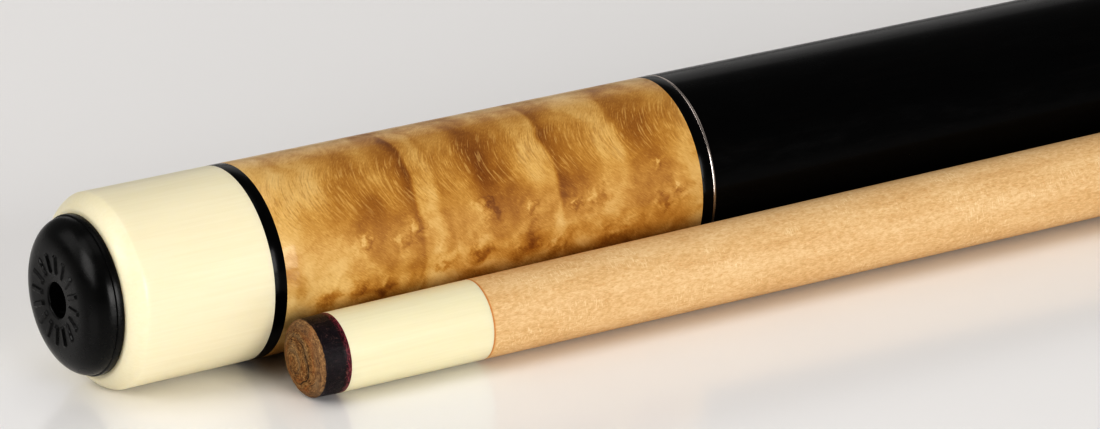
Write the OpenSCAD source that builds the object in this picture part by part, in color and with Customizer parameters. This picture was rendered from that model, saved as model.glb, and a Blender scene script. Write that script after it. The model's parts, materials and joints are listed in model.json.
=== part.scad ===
// Two-piece pool cue, taken apart, with both halves lying side by side on a table.
// The long axis is X, with the bumper and the tip at the -X end, and the table top is z = 0.
// Each half is drawn standing on its own axis: a station s runs along +Z, from the cap's rear
// face to the joint face on the butt half, and from the ferrule's front to the joint face on
// the shaft half. The halves are then laid down so that they touch the table.

/* [Butt half] */
// Length from the cap's rear face to the joint face
butt_len = 731; // [680:1:780]
// Diameter at the cap's rear face, before its bevel
butt_rear_d = 32.1; // [30:0.1:34]
// Diameter at the joint, the same on both halves
joint_d = 21.3; // [20.6:0.1:23]
// Length of the butt cap
cap_len = 25.6; // [22:0.1:40]
// Length of the ring between the cap and the sleeve
cap_ring_len = 2.2; // [1:0.1:4]
// Length of the figured maple sleeve
sleeve_len = 77.6; // [60:0.1:110]
// Length of the black ring ahead of the sleeve, and of its copies further up
black_ring_len = 2; // [1:0.1:4]
// Length of each thin metal trim ring
trim_len = 0.5; // [0.3:0.1:1.5]
// Length of the black handle
handle_len = 304; // [280:1:330]
// Length of the steel collar at the joint
joint_collar_len = 22; // [18:0.5:28]

/* [Butt cap and bumper] */
// Width of the rounded bevel on the cap's rear edge, along the axis
bevel_len = 2.8; // [1:0.1:4]
// Depth of that bevel across the axis
bevel_depth = 2.4; // [1:0.1:2.5]
// Diameter of the bumper's flange
bumper_d = 26.2; // [24:0.1:26.6]
// How far the bumper stands out of the cap
bumper_h = 5.35; // [4.5:0.05:8]
// Diameter of the flat end of the bumper's dome
bumper_face_d = 15; // [12:0.5:18]
// Diameter of the driver hole in the bumper
driver_hole_d = 5.7; // [4:0.1:7]
// Diameter of the stem that enters the cap
stem_d = 15; // [13:0.5:17]
// Length of that stem
stem_len = 6; // [4:0.5:7]

/* [Joint hardware] */
// Outside diameter of the joint pin's thread
pin_d = 7.94; // [7:0.01:9.5]
// How far the pin stands out of the joint face
pin_out = 25.4; // [20:0.1:26]
// Diameter of the pilot on the shaft's insert
pilot_d = 12.3; // [11.5:0.1:13]
// How far the pilot stands out of the shaft's face
pilot_len = 3.4; // [2:0.1:4]
// Length of the insert inside the shaft
insert_len = 27; // [27:0.5:32]

/* [Shaft half] */
// Length from the ferrule's front to the joint face
shaft_len = 731; // [680:1:780]
// Diameter of the ferrule
ferrule_d = 13; // [11.5:0.1:14]
// Length of the ferrule
ferrule_len = 25.9; // [20:0.1:30]
// Thickness of the fibre pad between the tip and the ferrule
pad_len = 1.1; // [0.5:0.1:2]
// Height of the leather tip's burnished side
tip_side = 3.5; // [2:0.1:5]
// Height of the leather tip's dome
tip_dome = 2.6; // [1.5:0.1:3.5]
// Length of the nearly straight part of the shaft
straight_len = 300; // [200:5:380]
// Length of the collar at the joint end of the shaft
shaft_collar_len = 12; // [8:0.5:16]

/* [Layout on the table] */
// How far the ferrule's front lies ahead of the cap's rear face
ferrule_ahead = 31.9; // [20:0.1:60]
// Distance between the two axes at the ferrule's front, seen from above
axis_gap = 22.4; // [21.5:0.1:40]
// Angle by which the shaft's far end points away from the butt, in degrees
splay = 0.66; // [0:0.01:3]

/* [Hidden] */
$fn = 96;

// Clearances: glued seats, parts that turn or slide, and faces that only meet
glue_gap = 0.05;
run_gap = 0.05;
seat_gap = 0.05;

// Stations along the butt half
cap_end = cap_len;
cap_ring_end = cap_end + cap_ring_len;
sleeve_end = cap_ring_end + sleeve_len;
sleeve_ring_end = sleeve_end + black_ring_len;
sleeve_trim_end = sleeve_ring_end + trim_len;
handle_end = sleeve_trim_end + handle_len;
handle_trim_end = handle_end + trim_len;
handle_ring_end = handle_trim_end + black_ring_len;
collar_start = butt_len - joint_collar_len;
joint_ring_start = collar_start - black_ring_len;
forearm_end = joint_ring_start - trim_len;

// Butt taper and the tenons that its pieces are glued on
butt_rear_r = butt_rear_d / 2;
joint_r = joint_d / 2;
butt_slope = (butt_rear_r - joint_r) / butt_len;
rear_tenon_r = 10;
rear_tenon_start = 8;
front_tenon_r = 7.5;
front_tenon_len = 24;
joint_tenon_r = 8;
collar_web = 2;
counterbore_depth = pilot_len + 0.6;
counterbore_floor = butt_len - counterbore_depth;
joint_tenon_end = counterbore_floor - collar_web;

// Bumper, its screw and washer, and the weight bolt that the screw goes into
bumper_r = bumper_d / 2;
bumper_face_r = bumper_face_d / 2;
flange_h = 1.25;
crease = 0.25;
dome_power = 1.9;
stem_r = stem_d / 2;
pocket_r = 4.6;
pocket_top = -2.3;
pocket_floor = 1.2;
washer_r = 4.5;
washer_t = 0.8;
screw_r = 2.5;
screw_head_r = 4.1;
screw_head_h = 2.6;
screw_end = 20;
bolt_r = 6.35;
bolt_start = 8;
bolt_len = 70;
bolt_tap_len = 14;
bolt_socket_len = 8;

// Joint pin and the stud that ties the handle to the forearm
pin_r = pin_d / 2;
pin_shank_r = 4.7;
pin_shank_len = 38;
pin_point = 0.8;
stud_r = 4;
stud_reach = 32;

// Stations along the shaft half
shaft_collar_start = shaft_len - shaft_collar_len;
shaft_trim_start = shaft_collar_start - trim_len;
shaft_tenon_r = 8.2;
shaft_web = 2;
shaft_tenon_end = shaft_len - shaft_web;
ferrule_r = ferrule_d / 2;
ferrule_cap = 4;
ferrule_tenon_r = 4.25;
straight_rise = 0.0014;
straight_end_r = ferrule_r + straight_rise * straight_len;
taper_power = 1.25;
pilot_r = pilot_d / 2;
insert_end = shaft_len - insert_len;
pad_r = ferrule_r - 0.03;
tip_edge_r = ferrule_r - 0.15;

// Lay-down: each half's lowest line is level with the table
butt_tilt = atan(butt_slope);
shaft_tilt = atan((joint_r - ferrule_r) / shaft_len);
x_reach = ferrule_ahead + shaft_len + pilot_len + bumper_h;
y_reach = butt_rear_r + axis_gap + shaft_len * sin(splay) + joint_r;
rear_x = bumper_h - x_reach / 2;
rear_y = y_reach / 2 - butt_rear_r;

function butt_r(s) = butt_rear_r - butt_slope * s;
function shaft_r(s) = s < straight_len
    ? ferrule_r + straight_rise * s
    : straight_end_r
      + (joint_r - straight_end_r) * pow((s - straight_len) / (shaft_len - straight_len), taper_power);

// A quarter turn of a superellipse from [r1, s1] to [r2, s2]
function quarter(r1, s1, r2, s2, power, steps) = [
    for (i = [0 : steps])
        [r2 + (r1 - r2) * pow(cos(90 * i / steps), 2 / power),
         s1 + (s2 - s1) * pow(sin(90 * i / steps), 2 / power)]
];

module on_butt()
    translate([rear_x, rear_y, butt_rear_r * cos(butt_tilt)])
        rotate([0, 90 + butt_tilt, 0]) children();

module on_shaft()
    translate([rear_x + ferrule_ahead, rear_y - axis_gap, ferrule_r * cos(shaft_tilt)])
        rotate([0, 0, -splay]) rotate([0, 90 - shaft_tilt, 0]) children();

// A straight round bar or hole between two stations
module bar(r, s1, s2)
    translate([0, 0, s1]) cylinder(r = r, h = s2 - s1);

// A length of the butt's taper with a bore through it
module butt_tube(s1, s2, bore_r)
    rotate_extrude() polygon([[bore_r, s1], [butt_r(s1), s1], [butt_r(s2), s2], [bore_r, s2]]);

// A length of the shaft's taper with a bore through it
module shaft_tube(s1, s2, bore_r)
    rotate_extrude() polygon([[bore_r, s1], [shaft_r(s1), s1], [shaft_r(s2), s2], [bore_r, s2]]);

// Hexagonal socket for an Allen key
module hex_socket(across_flats, s1, s2)
    translate([0, 0, s1]) cylinder(d = across_flats / cos(30), h = s2 - s1, $fn = 6);

// Rubber bumper: flange, domed end, stem into the cap, and a pocket for the screw's head
module bumper() color([0.07, 0.07, 0.07]) on_butt() difference() {
    rotate_extrude() polygon(concat(
        [[0, stem_len], [stem_r, stem_len], [stem_r, -seat_gap], [bumper_r, -seat_gap]],
        [[bumper_r, -flange_h]],
        quarter(bumper_r - crease, -flange_h, bumper_face_r, -bumper_h, dome_power, 12),
        [[0, -bumper_h]]
    ));
    bar(driver_hole_d / 2, -bumper_h - 1, pocket_top);
    bar(pocket_r, pocket_top - 0.01, pocket_floor);
    bar(screw_r + 0.1, pocket_floor - 0.01, stem_len + 1);
}

module bumper_washer() color("silver") on_butt() difference() {
    bar(washer_r, pocket_floor - washer_t, pocket_floor);
    bar(screw_r + 0.15, pocket_floor - washer_t - 1, pocket_floor + 1);
}

// Socket-head screw that turns inside the bumper and pulls it onto the cap
module bumper_screw() color("gainsboro") on_butt() difference() {
    head_s = pocket_floor - washer_t - seat_gap;
    union() {
        bar(screw_head_r, head_s - screw_head_h, head_s);
        bar(screw_r, head_s - 0.01, screw_end);
    }
    hex_socket(4, head_s - screw_head_h - 1, head_s - 0.9);
}

// Steel weight in the rear tenon, tapped for the bumper screw, with a socket at its far end
module weight_bolt() color("dimgray") on_butt() difference() {
    bar(bolt_r, bolt_start, bolt_start + bolt_len);
    bar(screw_r + run_gap, bolt_start - 1, bolt_start + bolt_tap_len);
    hex_socket(6, bolt_start + bolt_len - bolt_socket_len, bolt_start + bolt_len + 1);
}

module butt_cap() color("ivory") on_butt() difference() {
    rotate_extrude() polygon(concat(
        [[0, cap_end], [butt_r(cap_end), cap_end]],
        quarter(butt_r(bevel_len), bevel_len, butt_rear_r - bevel_depth, 0, 1.35, 8),
        [[0, 0]]
    ));
    bar(stem_r + 0.1, -1, stem_len + 0.5);
    bar(bolt_r + 0.15, 0, cap_end + 1);
    bar(rear_tenon_r + glue_gap, rear_tenon_start, cap_end + 1);
}

module cap_ring() color([0.05, 0.05, 0.05]) on_butt()
    butt_tube(cap_end, cap_ring_end, rear_tenon_r + glue_gap);

module butt_sleeve() color("goldenrod") on_butt()
    butt_tube(cap_ring_end, sleeve_end, rear_tenon_r + glue_gap);

module sleeve_ring() color([0.05, 0.05, 0.05]) on_butt()
    butt_tube(sleeve_end, sleeve_ring_end, rear_tenon_r + glue_gap);

module sleeve_trim_ring() color("silver") on_butt()
    butt_tube(sleeve_ring_end, sleeve_trim_end, rear_tenon_r + glue_gap);

// Black handle, with a long rear tenon under the sleeve and a short front one in the forearm
module handle() color([0.06, 0.06, 0.06]) on_butt() difference() {
    union() {
        bar(rear_tenon_r, rear_tenon_start, sleeve_trim_end + 0.01);
        butt_tube(sleeve_trim_end, handle_end, 0);
        bar(front_tenon_r, handle_end - 0.01, handle_end + front_tenon_len);
    }
    bar(bolt_r + glue_gap, 0, bolt_start + bolt_len);
    bar(stud_r + glue_gap, handle_end - stud_reach, handle_end + front_tenon_len + 1);
}

module handle_trim_ring() color("silver") on_butt()
    butt_tube(handle_end, handle_trim_end, front_tenon_r + glue_gap);

module handle_ring() color([0.05, 0.05, 0.05]) on_butt()
    butt_tube(handle_trim_end, handle_ring_end, front_tenon_r + glue_gap);

// Steel stud that holds the handle and the forearm together
module forearm_stud() color("silver") on_butt()
    bar(stud_r, handle_end - stud_reach, handle_end + front_tenon_len + stud_reach);

module forearm() color("goldenrod") on_butt() difference() {
    union() {
        butt_tube(handle_ring_end, forearm_end, 0);
        bar(joint_tenon_r, forearm_end - 0.01, joint_tenon_end);
    }
    bar(front_tenon_r + glue_gap, handle_ring_end - 1, handle_end + front_tenon_len);
    bar(stud_r + glue_gap, handle_ring_end, handle_end + front_tenon_len + stud_reach);
    bar(pin_shank_r + glue_gap, counterbore_floor - pin_shank_len, joint_tenon_end + 1);
}

module joint_trim_ring() color("silver") on_butt()
    butt_tube(forearm_end, joint_ring_start, joint_tenon_r + glue_gap);

module joint_ring() color([0.05, 0.05, 0.05]) on_butt()
    butt_tube(joint_ring_start, collar_start, joint_tenon_r + glue_gap);

// Steel collar with a counterbore that takes the other half's pilot
module joint_collar() color("lightsteelblue") on_butt() difference() {
    butt_tube(collar_start, butt_len, 0);
    bar(joint_tenon_r + glue_gap, collar_start - 1, joint_tenon_end);
    bar(pin_shank_r + glue_gap, joint_tenon_end - 1, counterbore_floor + 1);
    bar(pilot_r + 0.03, counterbore_floor, butt_len + 1);
}

// Joint pin: a thick shank glued into the forearm and a free stud with a pointed-off end
module joint_pin() color("silver") on_butt() {
    bar(pin_shank_r, counterbore_floor - pin_shank_len, counterbore_floor);
    bar(pin_r, counterbore_floor - 0.01, butt_len + pin_out - pin_point);
    translate([0, 0, butt_len + pin_out - pin_point])
        cylinder(r1 = pin_r, r2 = pin_r - pin_point, h = pin_point);
}

// Leather tip: a straight burnished side and a domed end
module tip() color("peru") on_shaft()
    rotate_extrude() polygon(concat(
        [[0, -pad_len], [pad_r, -pad_len]],
        quarter(tip_edge_r, -pad_len - tip_side, 0, -pad_len - tip_side - tip_dome, 1.6, 12)
    ));

module tip_pad() color("darkred") on_shaft()
    bar(pad_r, -pad_len, 0);

module ferrule() color("ivory") on_shaft() difference() {
    shaft_tube(0, ferrule_len, 0);
    bar(ferrule_tenon_r + glue_gap, ferrule_cap, ferrule_len + 1);
}

// Maple shaft, with a tenon in the ferrule, a tenon in the collar, and a socket for the insert
module shaft_wood() color("wheat") on_shaft() difference() {
    union() {
        bar(ferrule_tenon_r, ferrule_cap, ferrule_len + 0.01);
        rotate_extrude() polygon(concat(
            [[0, ferrule_len], [shaft_r(ferrule_len), ferrule_len]],
            [for (i = [0 : 12]) let (s = straight_len + (shaft_trim_start - straight_len) * i / 12)
                [shaft_r(s), s]],
            [[0, shaft_trim_start]]
        ));
        bar(shaft_tenon_r, shaft_trim_start - 0.01, shaft_tenon_end);
    }
    bar(pilot_r + glue_gap, insert_end, shaft_tenon_end + 1);
}

module shaft_trim_ring() color("silver") on_shaft()
    shaft_tube(shaft_trim_start, shaft_collar_start, shaft_tenon_r + glue_gap);

module shaft_collar() color([0.05, 0.05, 0.05]) on_shaft() difference() {
    shaft_tube(shaft_collar_start, shaft_len, 0);
    bar(shaft_tenon_r + glue_gap, shaft_collar_start - 1, shaft_tenon_end);
    bar(pilot_r + glue_gap, shaft_tenon_end - 1, shaft_len + 1);
}

// Brass insert whose front end stands out of the shaft as a pilot
module shaft_insert() color("gold") on_shaft() difference() {
    bar(pilot_r, insert_end, shaft_len + pilot_len);
    bar(pin_r + run_gap, insert_end - 1, shaft_len + pilot_len + 1);
}

bumper();
bumper_screw();
bumper_washer();
weight_bolt();
butt_cap();
cap_ring();
butt_sleeve();
sleeve_ring();
sleeve_trim_ring();
handle();
handle_trim_ring();
handle_ring();
forearm_stud();
forearm();
joint_trim_ring();
joint_ring();
joint_collar();
joint_pin();
tip();
tip_pad();
ferrule();
shaft_wood();
shaft_trim_ring();
shaft_collar();
shaft_insert();
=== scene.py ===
"""Looks for a two-piece pool cue, taken apart, with both halves lying side by side."""
import json
import math

import bmesh
import bpy
from mathutils import Matrix, Vector, noise


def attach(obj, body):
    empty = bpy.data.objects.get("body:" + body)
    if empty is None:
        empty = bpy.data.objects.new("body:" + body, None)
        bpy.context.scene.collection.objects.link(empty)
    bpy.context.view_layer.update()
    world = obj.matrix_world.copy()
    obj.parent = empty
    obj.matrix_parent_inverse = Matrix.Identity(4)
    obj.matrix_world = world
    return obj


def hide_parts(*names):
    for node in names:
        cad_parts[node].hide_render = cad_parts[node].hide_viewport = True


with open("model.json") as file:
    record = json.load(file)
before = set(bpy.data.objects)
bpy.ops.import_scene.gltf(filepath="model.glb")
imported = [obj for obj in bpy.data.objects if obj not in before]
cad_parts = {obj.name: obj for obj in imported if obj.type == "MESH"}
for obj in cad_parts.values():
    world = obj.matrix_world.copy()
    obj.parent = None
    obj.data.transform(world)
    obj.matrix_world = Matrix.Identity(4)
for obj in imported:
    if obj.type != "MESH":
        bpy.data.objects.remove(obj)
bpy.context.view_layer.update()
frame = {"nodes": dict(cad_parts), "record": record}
MM = 0.001
TURN = 2 * math.pi

# ---------------------------------------------------------------- the two halves' own axes


def mount(name):
    return next(m for m in frame["record"]["mounts"] if m["name"] == name)


class Half:
    """One half of the cue: a station s runs along its axis in millimetres, from its origin."""

    def __init__(self, mount_name, zero_node, at_front):
        made = mount(mount_name)
        self.axis = Vector(made["axis"]).normalized()
        self.point = Vector(made["pos_m"])
        low, high = self.reach(zero_node)
        self.point += self.axis * (high if at_front else low)
        side = Vector((0, 0, 1)).cross(self.axis).normalized()
        rise = self.axis.cross(side)
        turn = Matrix((side, rise, self.axis)).transposed()
        self.matrix = Matrix.Translation(self.point) @ turn.to_4x4()

    def reach(self, node):
        """Where a CAD node begins and ends along this axis, in metres from the half's point."""
        steps = [(v.co - self.point).dot(self.axis) for v in frame["nodes"][node].data.vertices]
        return min(steps), max(steps)

    def span(self, node):
        """The same in millimetres."""
        low, high = self.reach(node)
        return low / MM, high / MM

    def radius(self, node, s):
        """Largest radius of a CAD node at the station nearest to s, in millimetres."""
        found = []
        for v in frame["nodes"][node].data.vertices:
            d = v.co - self.point
            along = d.dot(self.axis)
            found.append((round(abs(along / MM - s), 2), -(d - self.axis * along).length / MM))
        return -min(found)[1]


BUTT = Half("joint_pin_stud", "butt_cap", at_front=False)
SHAFT = Half("shaft_socket", "ferrule", at_front=False)

# ---------------------------------------------------------------- mesh building


def arc(centre, radius, start, end, steps):
    """Points (r, s) on a circle, with angles in degrees from the +r direction towards +s."""
    turns = [math.radians(start + (end - start) * i / steps) for i in range(steps + 1)]
    return [(centre[0] + radius * math.cos(a), centre[1] + radius * math.sin(a)) for a in turns]


def eased(points, sizes, steps=4):
    """An outline whose corners are rounded: sizes gives each corner's cut-back, 0 for sharp."""
    out = []
    count = len(points)
    for i, (corner, size) in enumerate(zip(points, sizes)):
        here = Vector(corner)
        if size == 0:
            out.append(tuple(here))
            continue
        before = Vector(points[i - 1]) - here
        after = Vector(points[(i + 1) % count]) - here
        a = here + before.normalized() * min(size, before.length * 0.45)
        b = here + after.normalized() * min(size, after.length * 0.45)
        for k in range(steps + 1):
            t = k / steps
            out.append(tuple(a * (1 - t) ** 2 + here * 2 * t * (1 - t) + b * t ** 2))
    return out


def refined(points, longest, closed=False):
    """The same outline with extra points, so that no step is longer than given.
    A closed outline is also filled in from its last point back to its first."""
    out = []
    for here, after in zip(points, points[1:] + (points[:1] if closed else [])):
        pieces = max(1, math.ceil(math.dist(here, after) / longest))
        out += [tuple(h + (a - h) * k / pieces for h, a in zip(here, after)) for k in range(pieces)]
    return out if closed else out + [points[-1]]


def lathe(name, half, outline, segments=160, shape=None, sharp=32):
    """Turns a closed outline of (r, s) points, in millimetres, round a half's axis.
    shape(r, s, angle) may return a changed (r, s); the angle is 0 at the top of the cue."""
    mesh = bpy.data.meshes.new(name)
    bm = bmesh.new()
    rings = []
    for r, s in outline:
        if r < 1e-6:
            rings.append([bm.verts.new((0, 0, s * MM))])
            continue
        ring = []
        for k in range(segments):
            angle = TURN * k / segments
            rr, ss = shape(r, s, angle) if shape else (r, s)
            ring.append(bm.verts.new((rr * MM * math.sin(angle), rr * MM * math.cos(angle), ss * MM)))
        rings.append(ring)
    closed = all(len(ring) > 1 for ring in rings)
    pairs = list(zip(rings, rings[1:] + rings[:1])) if closed else list(zip(rings, rings[1:]))
    for a, b in pairs:
        for k in range(segments):
            n = (k + 1) % segments
            corners = [a[k % len(a)], a[n % len(a)], b[n % len(b)], b[k % len(b)]]
            corners = list(dict.fromkeys(corners))
            if len(corners) > 2:
                bm.faces.new(corners)
    bmesh.ops.recalc_face_normals(bm, faces=bm.faces)
    if bm.calc_volume(signed=True) < 0:
        bmesh.ops.reverse_faces(bm, faces=bm.faces)
    for face in bm.faces:
        face.smooth = True
    limit = math.radians(sharp)
    for edge in bm.edges:
        edge.smooth = edge.calc_face_angle(0) < limit
    bm.to_mesh(mesh)
    bm.free()
    piece = bpy.data.objects.new(name, mesh)
    bpy.context.collection.objects.link(piece)
    piece.matrix_world = half.matrix
    return piece


def place(piece, material, body, slot, *nodes):
    piece.data.materials.append(material)
    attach(piece, body)
    if nodes:
        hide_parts(*nodes)
    return piece


# ---------------------------------------------------------------- material building


class Graph:
    """Short names for the shader nodes of one material. Sizes are in millimetres."""

    def __init__(self, name):
        self.material = bpy.data.materials.new(name)
        self.material.use_nodes = True
        self.tree = self.material.node_tree
        self.tree.nodes.clear()
        self.out = self.add("ShaderNodeOutputMaterial")
        self.shader = self.add("ShaderNodeBsdfPrincipled")
        self.wire(self.shader.outputs[0], self.out.inputs["Surface"])
        place = self.add("ShaderNodeTexCoord")
        scale = self.add("ShaderNodeVectorMath", operation="SCALE")
        self.wire(place.outputs["Object"], scale.inputs[0])
        scale.inputs["Scale"].default_value = 1000
        self.point = scale.outputs[0]
        parts = self.add("ShaderNodeSeparateXYZ")
        self.wire(self.point, parts.inputs[0])
        self.x, self.y, self.s = parts.outputs

    def add(self, kind, **facts):
        made = self.tree.nodes.new(kind)
        for key, value in facts.items():
            setattr(made, key, value)
        return made

    def wire(self, source, socket):
        self.tree.links.new(source, socket)

    def feed(self, value, socket):
        if isinstance(value, bpy.types.NodeSocket):
            self.wire(value, socket)
        elif value is not None:
            socket.default_value = value

    def math(self, operation, a, b=None, c=None, clamp=False):
        made = self.add("ShaderNodeMath", operation=operation, use_clamp=clamp)
        for value, socket in zip((a, b, c), made.inputs):
            self.feed(value, socket)
        return made.outputs[0]

    def times(self, a, b):
        return self.math("MULTIPLY", a, b)

    def plus(self, a, b):
        return self.math("ADD", a, b)

    def band(self, value, low, high, out_low=0.0, out_high=1.0):
        """Smooth step of value from low to high."""
        made = self.add("ShaderNodeMapRange", interpolation_type="SMOOTHSTEP")
        for v, key in zip((value, low, high, out_low, out_high),
                          ("Value", "From Min", "From Max", "To Min", "To Max")):
            self.feed(v, made.inputs[key])
        return made.outputs[0]

    def vector(self, x, y, z):
        made = self.add("ShaderNodeCombineXYZ")
        for value, socket in zip((x, y, z), made.inputs):
            self.feed(value, socket)
        return made.outputs[0]

    def stretch(self, vector, factors):
        made = self.add("ShaderNodeVectorMath", operation="MULTIPLY")
        self.feed(vector, made.inputs[0])
        made.inputs[1].default_value = factors
        return made.outputs[0]

    def shift(self, vector, other):
        made = self.add("ShaderNodeVectorMath", operation="ADD")
        self.feed(vector, made.inputs[0])
        self.feed(other, made.inputs[1])
        return made.outputs[0]

    def dot(self, a, b):
        made = self.add("ShaderNodeVectorMath", operation="DOT_PRODUCT")
        self.feed(a, made.inputs[0])
        self.feed(b, made.inputs[1])
        return made.outputs["Value"]

    def noise(self, vector, size, detail=2.0, rough=0.5, warp=0.0, colour=False):
        made = self.add("ShaderNodeTexNoise")
        self.feed(vector, made.inputs["Vector"])
        made.inputs["Scale"].default_value = 1 / size
        made.inputs["Detail"].default_value = detail
        made.inputs["Roughness"].default_value = rough
        made.inputs["Distortion"].default_value = warp
        return made.outputs["Color" if colour else "Fac"]

    def cells(self, vector, size, feature="F1", output="Distance", random=1.0):
        made = self.add("ShaderNodeTexVoronoi", feature=feature)
        self.feed(vector, made.inputs["Vector"])
        made.inputs["Scale"].default_value = 1 / size
        made.inputs["Randomness"].default_value = random
        return made.outputs[output]

    def ramp(self, value, stops, ease="B_SPLINE"):
        made = self.add("ShaderNodeValToRGB")
        made.color_ramp.interpolation = ease
        marks = made.color_ramp.elements
        while len(marks) < len(stops):
            marks.new(0.5)
        for mark, (where, colour) in zip(marks, stops):
            mark.position = where
            mark.color = (*colour, 1)
        self.feed(value, made.inputs[0])
        return made.outputs[0]

    def mix(self, amount, a, b, blend="MIX"):
        made = self.add("ShaderNodeMix", data_type="RGBA", blend_type=blend)
        self.feed(amount, made.inputs[0])
        for value, socket in ((a, made.inputs[6]), (b, made.inputs[7])):
            self.feed((*value, 1) if isinstance(value, tuple) else value, socket)
        return made.outputs[2]

    def bump(self, height, depth, strength=1.0, after=None):
        made = self.add("ShaderNodeBump")
        made.inputs["Strength"].default_value = strength
        made.inputs["Distance"].default_value = depth * MM
        self.feed(height, made.inputs["Height"])
        if after is not None:
            self.wire(after, made.inputs["Normal"])
        return made.outputs[0]

    def set(self, **facts):
        """Sets the shader's own sockets: a number or colour directly, or a linked pattern."""
        names = {"colour": "Base Color", "rough": "Roughness", "metal": "Metallic", "normal": "Normal",
                 "ior": "IOR", "specular": "Specular IOR Level", "coat": "Coat Weight",
                 "coat_rough": "Coat Roughness", "coat_ior": "Coat IOR", "coat_normal": "Coat Normal",
                 "sheen": "Sheen Weight", "sheen_rough": "Sheen Roughness", "sheen_tint": "Sheen Tint",
                 "subsurface": "Subsurface Weight", "subsurface_depth": "Subsurface Scale",
                 "subsurface_radius": "Subsurface Radius", "anisotropy": "Anisotropic"}
        for key, value in facts.items():
            self.feed((*value, 1) if key in ("colour", "sheen_tint") and isinstance(value, tuple) else value,
                      self.shader.inputs[names[key]])
        return self.material

    def angle(self):
        """Angle round the axis, 0 at the top of the cue as it lies and rising away from -Y."""
        return self.math("ARCTAN2", self.x, self.y)


def clear_coat_waviness(g, depth=0.006):
    """The slight orange peel of a sprayed and buffed clear coat."""
    return g.bump(g.noise(g.point, 2.2, 2.0, 0.6), depth)


def ivory_plastic(name, light, dark, warm):
    g = Graph(name)
    streaks = g.noise(g.stretch(g.point, (1, 1, 0.03)), 0.55, 3.0, 0.6)
    clouds = g.noise(g.stretch(g.point, (1, 1, 0.2)), 6.0, 2.0, 0.5)
    fac = g.plus(g.times(streaks, 0.6), g.times(clouds, 0.4))
    colour = g.ramp(fac, [(0.22, dark), (0.48, warm), (0.74, light)])
    specks = g.band(g.cells(g.point, 1.6), 0.0, 0.07, 1.0, 0.0)
    colour = g.mix(g.times(specks, 0.12), colour, (0.55, 0.45, 0.25))
    rough = g.band(g.noise(g.stretch(g.point, (1, 1, 0.1)), 0.8, 3.0), 0.3, 0.7, 0.30, 0.42)
    return g.set(colour=colour, rough=rough, normal=g.bump(streaks, 0.002), subsurface=0.22,
                 subsurface_depth=0.003, subsurface_radius=(1.0, 0.85, 0.5), specular=0.3, coat=0.15,
                 coat_rough=0.12, coat_normal=clear_coat_waviness(g, 0.004))


def black_gloss(name, fleck=(0.0016, 0.0012, 0.0010)):
    g = Graph(name)
    lines = g.noise(g.stretch(g.point, (1, 1, 0.04)), 0.6, 3.0, 0.6)
    clouds = g.noise(g.point, 9.0, 2.0)
    colour = g.mix(g.band(g.times(lines, clouds), 0.2, 0.45), (0.0006, 0.0006, 0.0007), fleck)
    scuffs = g.noise(g.stretch(g.point, (1, 1, 0.25)), 1.8, 4.0, 0.65)
    rough = g.band(scuffs, 0.35, 0.75, 0.20, 0.30)
    return g.set(colour=colour, rough=rough, normal=g.bump(lines, 0.0010), specular=0.14,
                 coat=0.10, coat_rough=0.10, coat_normal=clear_coat_waviness(g, 0.0025))


# Mean radius of the sleeve in millimetres, which turns an angle into a distance round it
FIGURE_R = 15.6


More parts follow.
